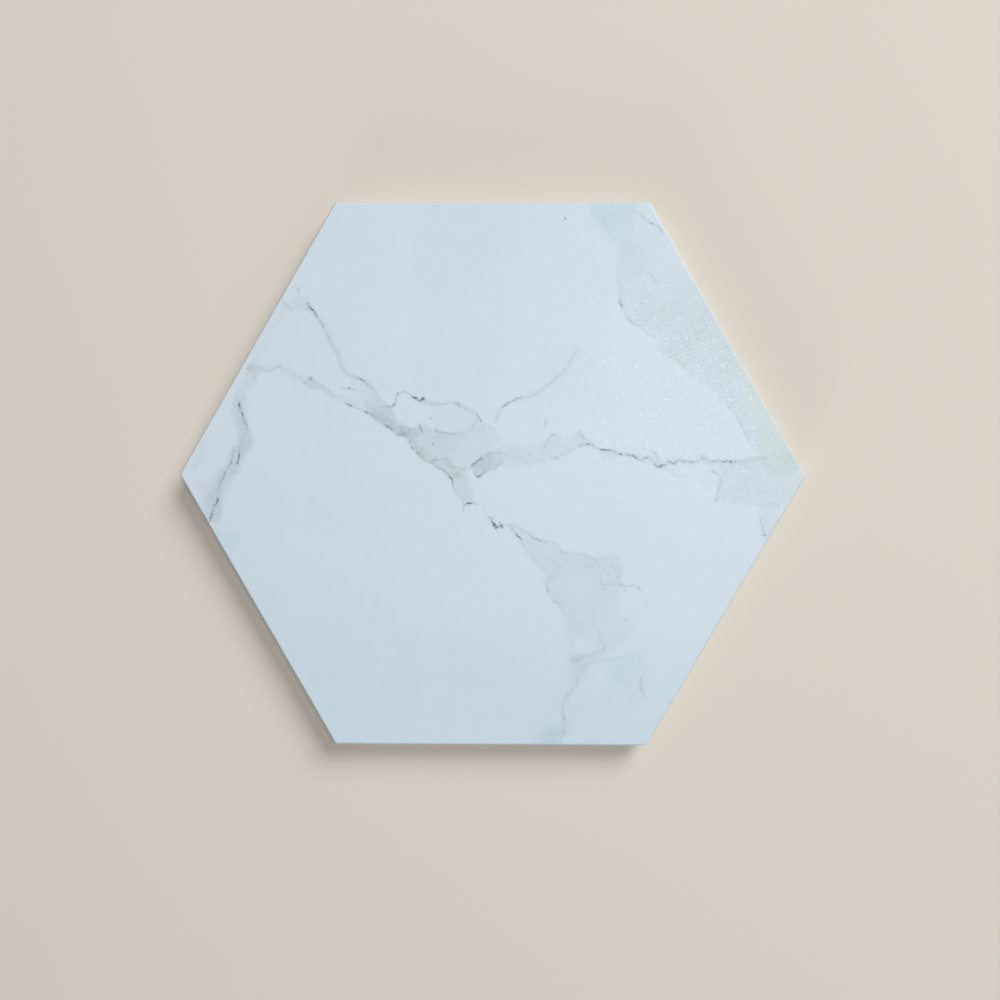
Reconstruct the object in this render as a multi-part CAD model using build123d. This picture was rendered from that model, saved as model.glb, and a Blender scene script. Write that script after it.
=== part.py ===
from build123d import *
import os
from math import atan, degrees, floor, radians, sqrt, tan

# Hexagonal porcelain floor and wall tile, pressed and fired as one piece.
# The back lies on z = 0 and the glazed face looks up along +Z. Two corners point along X
# and two edges lie square to Y, with the origin under the middle of the face.
# All sizes are in millimetres, and draft is in degrees from upright.

# Face outline
across_flats = 200.0
corner_radius = 1.5

# Section of the edge, from the face down to the back
thickness = 9.0
arris_radius = 0.8
skirt_height = 4.0
skirt_inset = 0.5
back_edge_radius = 0.4

# Honeycomb key pressed into the back, which takes the adhesive
key_pitch = 14.0
key_rib = 2.0
key_depth = 0.6
key_draft = 30.0
key_border = 7.0


def hexagon(flats, turn=0):
    """Regular hexagon by its width across flats, with corners along X until it is turned."""
    return RegularPolygon(flats / 2, side_count=6, major_radius=False, rotation=turn)


def pressed_body():
    """Upright edge band above, skirt drawn in towards the back, and softened rims on both faces."""
    plan = fillet(hexagon(across_flats).vertices(), corner_radius)
    parting_line = Pos(0, 0, skirt_height) * plan
    edge_band = extrude(parting_line, thickness - skirt_height)
    skirt_draft = degrees(atan(skirt_inset / skirt_height))
    skirt = extrude(parting_line, skirt_height, dir=(0, 0, -1), taper=skirt_draft)
    body = edge_band + skirt
    body = fillet(body.faces().sort_by(Axis.Z)[-1].edges(), arris_radius)
    return fillet(body.faces().sort_by(Axis.Z)[0].edges(), back_edge_radius)


def key_cell():
    """One hexagonal pocket of the back, with its walls sloped so that it leaves the press die."""
    mouth_flats = key_pitch - key_rib
    floor_flats = mouth_flats - 2 * key_depth * tan(radians(key_draft))
    cell_floor = Pos(0, 0, key_depth) * hexagon(floor_flats, turn=30)
    return loft([hexagon(mouth_flats, turn=30), cell_floor])


def key_centres():
    """Cell centres in rings round the middle, as many rings as leave the flat border whole."""
    row_spacing = key_pitch * sqrt(3) / 2
    cell_reach = (key_pitch - key_rib) / sqrt(3)
    back_half_flats = across_flats / 2 - skirt_inset - back_edge_radius
    rings = floor((back_half_flats - key_border - cell_reach) / row_spacing)
    centres = []
    for row in range(-rings, rings + 1):
        for column in range(max(-rings, -rings - row), min(rings, rings - row) + 1):
            centres.append((key_pitch * (column + row / 2), row_spacing * row))
    return centres


def hexagon_tile():
    """The pressed body with the honeycomb key taken out of its back."""
    cell = key_cell()
    tile = pressed_body() - [Pos(x, y) * cell for x, y in key_centres()]
    tile.label = "hexagon_tile"
    return tile


os.makedirs("parts", exist_ok=True)
export_step(hexagon_tile(), "parts/hexagon_tile.step")
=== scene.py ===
from collections import namedtuple
from math import radians

import bpy
from mathutils import Euler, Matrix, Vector


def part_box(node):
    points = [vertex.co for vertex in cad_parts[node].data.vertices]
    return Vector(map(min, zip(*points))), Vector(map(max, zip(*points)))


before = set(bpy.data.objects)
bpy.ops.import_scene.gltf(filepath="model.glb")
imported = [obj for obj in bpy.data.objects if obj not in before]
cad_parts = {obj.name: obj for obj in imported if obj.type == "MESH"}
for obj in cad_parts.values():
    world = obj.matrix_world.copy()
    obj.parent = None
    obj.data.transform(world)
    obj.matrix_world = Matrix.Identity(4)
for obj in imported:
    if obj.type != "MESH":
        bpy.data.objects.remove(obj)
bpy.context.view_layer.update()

bl_info = {
    "name": "Hexagon porcelain tile",
    "version": (1, 0, 0),
    "blender": (4, 5, 0),
    "location": "3D View > Sidebar > Tile",
    "description": "Finishes a marble-look hexagon porcelain tile and sets it on a plain stage",
    "category": "Material",
}

TILE_NODE = "hexagon_tile"
MM = 0.001
tile_low, tile_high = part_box(TILE_NODE)
thickness = tile_high.z - tile_low.z

# The print on the face is drawn in millimetres from the middle of the face, x towards a corner and
# y square to an edge. Ink is how dark a mark is: 0 is none, 1 is full, and a patch of less than 0
# makes its ground lighter.
# A vein runs through points (x, y, ink). It fades over its width to each side, and runs out over
# its taper past its two ends.
# A patch is the ground between two edges that run the same way. Its inks are spaced evenly from
# one end to the other, and its edges fade over the soft width.
# A few broad patches use the same form but are painted shade or painted light, not print, and are named
# so.
Vein = namedtuple("Vein", "name width taper points")
Patch = namedtuple("Patch", "name soft one_edge other_edge inks")
Speck = namedtuple("Speck", "name x y size ink")

LINE_WIDTH = 0.9
LINE_TAPER = 1.0


def line(name, *points, width=LINE_WIDTH):
    """A hairline vein."""
    return Vein(name, width, LINE_TAPER, points)


LINES = [
    line("upper left hairline", (-68.0, 63.6, 0.5), (-67.4, 61.5, 1.2), (-65.9, 60.4, 1.05),
         (-65.0, 59.3, 0.9), (-63.4, 56.6, 0.7), (-62.5, 55.1, 0.65), (-61.3, 52.9, 0.5),
         (-59.3, 49.7, 0.65), (-58.7, 47.4, 0.45), (-57.3, 45.0, 0.5), (-56.3, 43.4, 0.4),
         (-55.7, 40.6, 0.42), (-54.6, 38.6, 0.5), (-52.5, 36.6, 0.5), (-50.0, 35.8, 0.6),
         (-47.3, 34.6, 0.9), (-45.7, 33.0, 0.6), (-42.5, 30.2, 0.4)),
    line("upper left edge smudge", (-77.4, 65.1, 0.4), (-76.8, 63.4, 0.4), (-74.3, 60.6, 0.3)),
    line("left branch", (-89.6, 39.6, 0.55), (-87.1, 40.2, 0.6), (-84.6, 39.3, 0.45),
         (-83.6, 38.3, 0.5), (-82.5, 37.9, 0.5), (-80.4, 39.0, 0.5), (-78.2, 39.7, 0.55),
         (-77.0, 39.4, 0.34), (-75.0, 37.7, 0.14), (-71.4, 35.6, 0.12)),
    line("left branch tick", (-89.7, 39.2, 0.6), (-88.6, 38.1, 0.75)),
    line("left branch foot", (-62.8, 32.4, 0.24), (-60.0, 31.0, 0.26), (-58.6, 29.1, 0.5),
         (-57.3, 28.8, 0.34)),
    line("stray over the band", (-55.7, 32.1, 0.35), (-53.0, 31.9, 0.6), (-50.0, 31.2, 0.3)),
    line("lower edge of the band", (-54.3, 26.6, 0.4), (-52.6, 25.4, 0.9), (-50.0, 24.9, 0.6),
         (-47.9, 24.0, 0.65), (-45.4, 22.3, 0.95), (-43.9, 21.9, 0.8), (-42.1, 20.2, 0.6),
         (-39.3, 18.3, 0.95), (-37.9, 17.7, 0.8), (-36.1, 16.3, 0.7), (-34.3, 14.7, 0.95),
         (-32.9, 14.7, 0.8), (-31.1, 13.4, 0.6), (-29.6, 10.6, 0.7), (-27.9, 8.8, 0.6),
         (-26.8, 7.7, 0.9), (-26.1, 6.6, 0.85), (-24.3, 5.2, 0.6), (-21.4, 3.8, 0.6), (-20.0, 2.7, 0.6),
         (-17.9, 2.0, 0.85), (-16.4, 0.6, 0.8), (-15.4, -0.9, 0.85), (-14.6, -2.1, 1.0),
         (-14.3, -4.1, 0.6), (-13.2, -5.9, 0.55), (-11.4, -8.4, 0.5), (-10.3, -10.4, 0.6)),
    line("tail right edge", (-7.5, -4.4, 0.25), (-7.0, -6.4, 0.5), (-7.1, -8.6, 0.45)),
    line("tail hook", (-10.2, -12.8, 0.8), (-9.9, -11.5, 1.0), (-8.9, -10.6, 1.0), (-7.1, -10.1, 0.9),
         (-5.4, -10.5, 0.4)),
    line("loop foot", (-40.5, 24.7, 0.4), (-39.3, 24.9, 0.55), (-36.8, 25.0, 0.8), (-35.5, 25.8, 0.9)),
    line("loop rise", (-35.4, 25.9, 0.8), (-34.9, 28.4, 0.6), (-34.4, 29.9, 0.85)),
    line("loop shoulder", (-34.3, 30.1, 0.9), (-32.5, 30.5, 0.7), (-30.7, 29.8, 0.55),
         (-29.5, 28.6, 0.8)),
    line("loop dark knot", (-29.2, 28.4, 1.0), (-28.2, 28.2, 1.15), (-27.3, 27.8, 1.15),
         (-26.4, 27.2, 1.0), (-25.0, 27.5, 0.95), width=1.4),
    line("upper edge of the band", (-24.4, 27.1, 0.65), (-22.9, 26.1, 0.55), (-20.0, 25.7, 0.5),
         (-17.1, 26.3, 0.45), (-15.0, 26.5, 0.5), (-12.5, 26.1, 0.8), (-11.1, 25.2, 0.45),
         (-8.6, 24.1, 0.45), (-6.4, 23.4, 0.45), (-4.8, 21.4, 0.75), (-4.0, 19.9, 0.7),
         (-2.1, 18.4, 0.42), (1.4, 16.3, 0.25)),
    line("inner edge of the band", (-20.7, 16.7, 0.8), (-19.3, 15.6, 0.75), (-17.9, 15.4, 0.65),
         (-15.0, 15.0, 0.6), (-12.1, 15.4, 0.45), (-9.3, 15.9, 0.4), (-7.1, 17.7, 0.4),
         (-6.1, 19.1, 0.45), (-4.6, 20.4, 0.6)),
    line("mark in the band", (-26.6, 18.4, 0.7), (-26.2, 17.4, 0.75), (-25.4, 15.8, 0.75)),
    line("fold in the band", (-21.6, 5.4, 0.75), (-19.3, 5.6, 0.55), (-17.1, 6.0, 0.65),
         (-15.0, 4.1, 0.75), (-13.9, 2.8, 0.65), (-10.4, 2.4, 0.4), (-8.4, 2.6, 0.4)),
    line("riser to the thin vein", (1.2, 19.6, 0.4), (2.3, 21.7, 0.55), (3.5, 24.2, 0.5),
         (4.7, 25.7, 0.8)),
    line("thin vein to the upper right", (4.8, 25.9, 0.8), (7.1, 27.0, 0.7), (9.6, 28.0, 0.68),
         (11.4, 28.7, 0.7), (13.9, 28.9, 0.5), (16.4, 29.8, 0.55), (18.6, 31.4, 0.42),
         (20.7, 33.0, 0.4), (22.9, 34.9, 0.36), (25.2, 36.9, 0.36), (27.9, 39.8, 0.36),
         (29.6, 42.9, 0.42), (31.4, 47.0, 0.3), (32.9, 50.0, 0.12)),
    line("lens upper edge", (-7.5, 3.1, 0.85), (-6.1, 4.0, 0.8), (-4.3, 5.6, 0.74), (-2.5, 7.1, 0.68),
         (-0.7, 8.1, 0.6), (1.1, 8.4, 0.5), (3.2, 8.6, 0.45), (5.0, 7.6, 0.5)),
    line("lens lower edge", (-6.4, 0.8, 0.5), (-5.7, -0.1, 0.85), (-4.3, -0.3, 0.95), (-3.2, 0.7, 0.75),
         (-1.8, 1.5, 0.7), (0.2, 1.9, 0.35), (1.4, 2.2, 0.7), (2.9, 3.6, 0.4)),
    line("right vein", (21.4, 6.8, 0.4), (24.6, 6.6, 0.65), (26.1, 7.9, 0.45), (28.6, 8.7, 0.5),
         (30.0, 9.6, 0.6), (31.4, 10.6, 0.68), (33.2, 10.9, 0.64), (35.0, 11.4, 0.68),
         (36.4, 11.5, 0.82), (37.5, 10.7, 0.68), (38.9, 10.1, 0.78), (41.1, 9.3, 1.1),
         (43.2, 9.1, 0.92), (45.4, 8.7, 0.66), (47.5, 7.9, 0.9), (50.0, 7.7, 0.82), (52.5, 6.9, 1.06),
         (53.9, 6.2, 0.76), (55.2, 6.0, 0.7), (56.4, 6.7, 0.82), (58.2, 6.4, 0.7), (59.3, 5.4, 0.7),
         (60.4, 3.9, 1.0), (61.4, 3.2, 1.0), (63.9, 3.4, 0.8)),
    line("right vein end", (64.8, 5.1, 0.75), (67.1, 4.4, 0.85), (68.7, 5.6, 0.7), (70.4, 5.4, 0.85),
         (72.5, 5.4, 0.6), (75.0, 5.1, 0.6), (77.1, 6.3, 0.6), (79.3, 5.7, 0.6), (80.7, 5.1, 0.7),
         (82.5, 5.4, 0.85), (85.0, 5.0, 0.9), (87.1, 5.5, 0.9), (90.0, 5.2, 0.5), (92.9, 5.4, 0.38),
         (95.7, 5.9, 0.3), (97.9, 5.9, 0.24), (100.7, 6.8, 0.12)),
    line("right vein small loop", (76.6, 6.4, 0.5), (77.4, 7.4, 0.55), (78.6, 7.0, 0.5),
         (79.4, 6.0, 0.4)),
    line("right vein spur", (59.0, 9.0, 0.5), (60.4, 8.3, 0.5), (61.0, 6.6, 0.5), (61.2, 5.0, 0.45)),
    line("right vein lower spur", (63.9, 2.5, 0.3), (67.9, 0.7, 0.3), (70.7, -0.7, 0.2)),
    line("small loop", (20.0, 11.4, 0.55), (20.7, 13.2, 0.6), (21.8, 14.4, 0.6), (23.6, 14.8, 0.55),
         (24.9, 14.4, 0.5)),
    line("dash over the haze", (20.1, 20.6, 0.42), (19.8, 17.8, 0.5)),
    line("tick over the right vein", (32.6, 15.6, 0.75), (33.6, 13.9, 0.6)),
    line("right hairline", (86.1, 26.8, 0.3), (87.9, 24.3, 0.4), (90.0, 21.8, 0.45), (91.1, 19.3, 0.55),
         (92.5, 16.4, 0.6), (93.9, 13.9, 0.45), (94.6, 12.5, 0.3)),
    line("faint right hairline", (73.0, 17.4, 0.08), (77.1, 19.6, 0.16), (80.0, 21.6, 0.22),
         (83.6, 23.4, 0.16)),
    line("right lower hairline", (81.4, 1.4, 0.75), (83.6, 0.0, 0.5), (84.5, -1.1, 0.42),
         (84.3, -3.2, 0.45), (83.4, -5.7, 0.55), (83.1, -7.1, 0.5), (82.7, -8.8, 0.75)),
    line("right corner tick", (98.6, -16.0, 0.6), (99.3, -17.1, 0.5), (99.8, -20.0, 0.4),
         (100.7, -21.8, 0.75), (102.1, -22.1, 0.4)),
    line("top corner hairline", (51.8, 96.8, 0.3), (55.4, 94.3, 0.55), (56.8, 93.2, 0.7),
         (59.3, 91.8, 0.75), (60.7, 90.7, 0.8), (61.8, 88.9, 0.75)),
    line("faint top right hairline", (57.5, 73.9, 0.4), (58.9, 72.5, 0.45), (60.1, 70.4, 0.4)),
    line("bank edge marks", (45.2, 75.6, 0.1), (45.8, 71.0, 0.25), (46.5, 66.5, 0.3), (46.9, 64.0, 0.8),
         (47.3, 62.6, 0.85), (48.2, 60.0, 0.35), (49.6, 57.9, 0.5), (52.3, 55.6, 0.66),
         (55.0, 53.6, 0.3), (58.6, 50.7, 0.2)),
    line("run into the lower hook", (-2.5, -13.2, 0.35), (-1.4, -15.2, 0.5), (0.1, -16.3, 0.8)),
    line("lower hook", (0.1, -16.3, 0.9), (0.7, -17.8, 1.0), (1.4, -18.8, 1.12), (2.4, -19.4, 1.18),
         (3.6, -19.1, 1.0), width=1.3),
    line("lower hook curl", (3.7, -19.1, 0.95), (3.3, -17.7, 0.9)),
    line("lower left branch", (6.8, -18.6, 0.6), (8.2, -20.4, 0.6), (10.0, -22.6, 1.0),
         (11.3, -24.4, 0.6), (13.2, -27.9, 0.26), (15.0, -30.4, 0.24), (16.4, -32.1, 0.18),
         (19.9, -35.7, 0.12)),
    line("lower right branch", (4.8, -18.4, 0.45), (8.0, -18.6, 0.45), (10.7, -19.6, 0.5),
         (13.6, -21.2, 0.5), (15.0, -23.0, 0.85), (16.4, -23.4, 0.95), (18.9, -24.1, 0.75),
         (21.4, -24.6, 0.3), (24.6, -25.6, 0.22), (25.7, -27.1, 0.4), (26.9, -28.6, 0.68),
         (30.7, -28.2, 0.2), (33.6, -28.9, 0.28), (35.7, -29.8, 0.4), (37.9, -30.9, 0.45),
         (39.3, -32.5, 0.26), (40.2, -36.0, 0.24), (40.8, -39.6, 0.4)),
    line("lower cluster line", (40.8, -39.9, 0.42), (43.5, -39.6, 0.25), (47.1, -40.0, 0.65),
         (48.9, -40.7, 0.8), (50.6, -40.4, 0.45), (52.1, -40.4, 0.6), (53.6, -41.1, 0.65),
         (55.0, -42.1, 0.5)),
    line("cloud edge marks", (20.3, -39.5, 0.1), (20.7, -41.8, 0.7), (22.0, -44.4, 0.12),
         (23.2, -46.2, 0.5), (24.3, -46.8, 0.85), (25.7, -48.0, 0.55), (27.1, -52.0, 0.1)),
    line("cloud faint line", (49.2, -53.5, 0.45), (51.4, -52.6, 0.2), (53.5, -52.0, 0.12)),
    line("island rim right", (39.6, -58.2, 0.28), (40.7, -60.4, 0.34), (42.1, -62.9, 0.36),
         (41.6, -65.0, 0.26)),
    line("island rim below", (41.6, -65.0, 0.22), (38.6, -65.7, 0.24), (35.0, -66.6, 0.3),
         (32.1, -67.8, 0.48), (30.4, -68.3, 0.34), width=1.3),
    line("cloud streak", (38.3, -48.4, 0.22), (37.9, -52.0, 0.3), (37.7, -56.0, 0.22)),
    line("arch line", (34.3, -70.7, 0.25), (36.4, -69.6, 0.3), (40.7, -68.6, 0.3), (45.0, -67.9, 0.34),
         (49.3, -67.1, 0.3), (52.1, -67.1, 0.35)),
    line("cloud leg line", (36.4, -69.8, 0.25), (33.6, -71.8, 0.3), (32.5, -74.3, 0.3),
         (31.8, -77.9, 0.32), (30.0, -80.0, 0.32), (27.1, -83.6, 0.36), (26.4, -86.4, 0.4),
         (27.1, -89.3, 0.65), (26.8, -92.1, 0.4), (27.7, -94.3, 0.36), (27.0, -96.4, 0.3),
         (26.1, -98.6, 0.25)),
    line("cloud edge tail", (55.7, -75.4, 0.65), (55.4, -76.8, 0.2), (55.2, -78.0, 0.6),
         (56.1, -80.0, 0.4), (57.6, -82.4, 0.2), (59.3, -84.3, 0.12)),
    line("left hook", (-87.9, 37.4, 0.3), (-87.4, 35.9, 0.4), (-87.4, 33.4, 0.3)),
    line("left edge vein", (-93.0, 26.6, 0.5), (-92.8, 25.4, 0.95), (-92.6, 23.6, 0.6),
         (-92.1, 21.8, 1.05), (-91.0, 18.9, 0.9), (-90.4, 17.0, 0.5), (-91.7, 13.0, 0.4),
         (-92.8, 10.6, 0.5), (-93.2, 8.2, 0.65), (-93.5, 5.7, 1.0), (-93.9, 3.9, 0.75)),
    line("left edge vein lower run", (-95.5, 9.2, 0.5), (-95.7, 7.0, 0.3), (-96.4, 3.9, 0.9),
         (-97.8, 1.8, 0.55), (-99.2, -1.4, 0.95), (-100.6, -3.4, 0.9), (-101.0, -7.0, 0.45),
         (-101.4, -10.4, 1.05), (-102.4, -11.7, 0.95), (-102.9, -13.6, 0.8), (-104.0, -17.0, 0.95)),
]


def veil(name, width, *points):
    """A wide faint veil beside a vein."""
    return Vein(name, width, 2.0, points)


VEILS = [
    veil("upper left hairline veil", 2.4, (-67.0, 61.5, 0.5), (-63.4, 56.6, 0.4), (-59.3, 49.7, 0.35),
         (-56.6, 44.0, 0.4), (-54.6, 38.6, 0.4), (-50.0, 35.8, 0.4), (-46.0, 33.0, 0.5)),
    veil("left branch veil", 2.2, (-89.0, 39.0, 0.5), (-84.0, 38.8, 0.35), (-77.0, 39.0, 0.25),
         (-71.0, 35.6, 0.2)),
    veil("upper left edge veil", 2.6, (-77.6, 60.0, 0.2), (-79.0, 57.0, 0.2), (-84.0, 48.0, 0.3),
         (-88.0, 40.0, 0.4)),
    veil("left branch link", 2.0, (-60.0, 30.4, 0.24), (-57.0, 29.0, 0.26), (-50.0, 26.0, 0.5)),
    veil("left corner haze", 3.0, (-108.5, -3.0, 0.3), (-104.5, -7.0, 0.4), (-102.0, -11.0, 0.3)),
    veil("left corner veil", 1.8, (-107.3, 12.1, 0.3), (-107.1, 7.1, 0.5), (-108.1, 4.3, 0.5),
         (-110.3, 1.4, 0.3)),
    veil("leg line veil", 2.2, (36.0, -70.0, 0.25), (32.0, -76.0, 0.28), (27.0, -84.0, 0.3),
         (27.0, -95.0, 0.26)),
    veil("upper edge of the band veil", 2.0, (-24.0, 27.0, 0.3), (-12.0, 26.0, 0.35),
         (-5.0, 21.6, 0.4)),
    veil("thin vein veil", 1.8, (5.0, 26.0, 0.3), (16.0, 30.0, 0.25), (28.0, 40.0, 0.2),
         (31.0, 46.0, 0.15)),
]

SPECKS = [
    Speck("upper left speck one", -73.0, 68.2, 0.9, 0.5),
    Speck("upper left speck two", -71.3, 67.8, 1.2, 0.7),
    Speck("upper left speck three", -71.0, 66.8, 0.8, 0.5),
    Speck("upper left dark spot", -67.2, 61.2, 1.7, 0.8),
    Speck("left branch dark spot", -66.8, 35.1, 1.6, 1.2),
    Speck("left branch small spot", -68.9, 33.8, 1.0, 0.8),
    Speck("stray spot over the band", -52.5, 31.9, 1.0, 0.95),
    Speck("spot in the pocket", -22.1, 20.6, 0.9, 1.0),
    Speck("spot in the band", -21.6, 11.3, 0.9, 1.0),
    Speck("spot in the haze one", 13.9, 7.6, 0.9, 0.55),
    Speck("spot in the haze two", 13.2, 4.5, 0.9, 0.5),
    Speck("spot in the haze three", 17.9, 5.0, 0.8, 0.5),
    Speck("spot in the haze four", 19.1, 7.5, 0.8, 0.5),
    Speck("right vein spot", 55.7, 10.3, 0.9, 0.65),
    Speck("top spot", 26.8, 93.7, 0.75, 1.3),
    Speck("right edge spot", 86.4, 46.8, 1.1, 0.7),
    Speck("lower cluster spot one", 41.4, -42.0, 1.0, 0.75),
    Speck("lower cluster spot two", 49.3, -42.1, 0.9, 0.6),
    Speck("lower cluster grain one", 42.2, -30.8, 0.9, 0.6),
    Speck("lower cluster grain two", 44.6, -33.4, 0.9, 0.5),
    Speck("lower cluster grain three", 46.6, -30.6, 0.8, 0.6),
    Speck("lower cluster grain four", 43.0, -36.2, 0.9, 0.6),
    Speck("lower cluster grain five", 46.8, -37.4, 0.9, 0.62),
    Speck("lower cluster grain six", 48.0, -34.2, 0.8, 0.6),
    Speck("lower right spot", 57.5, -46.8, 1.4, 0.3),
    Speck("lower edge spot", 66.1, -84.0, 0.9, 0.55),
]

# Grey patches of the print, and one broad patch of painted shade over the upper middle.
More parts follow.
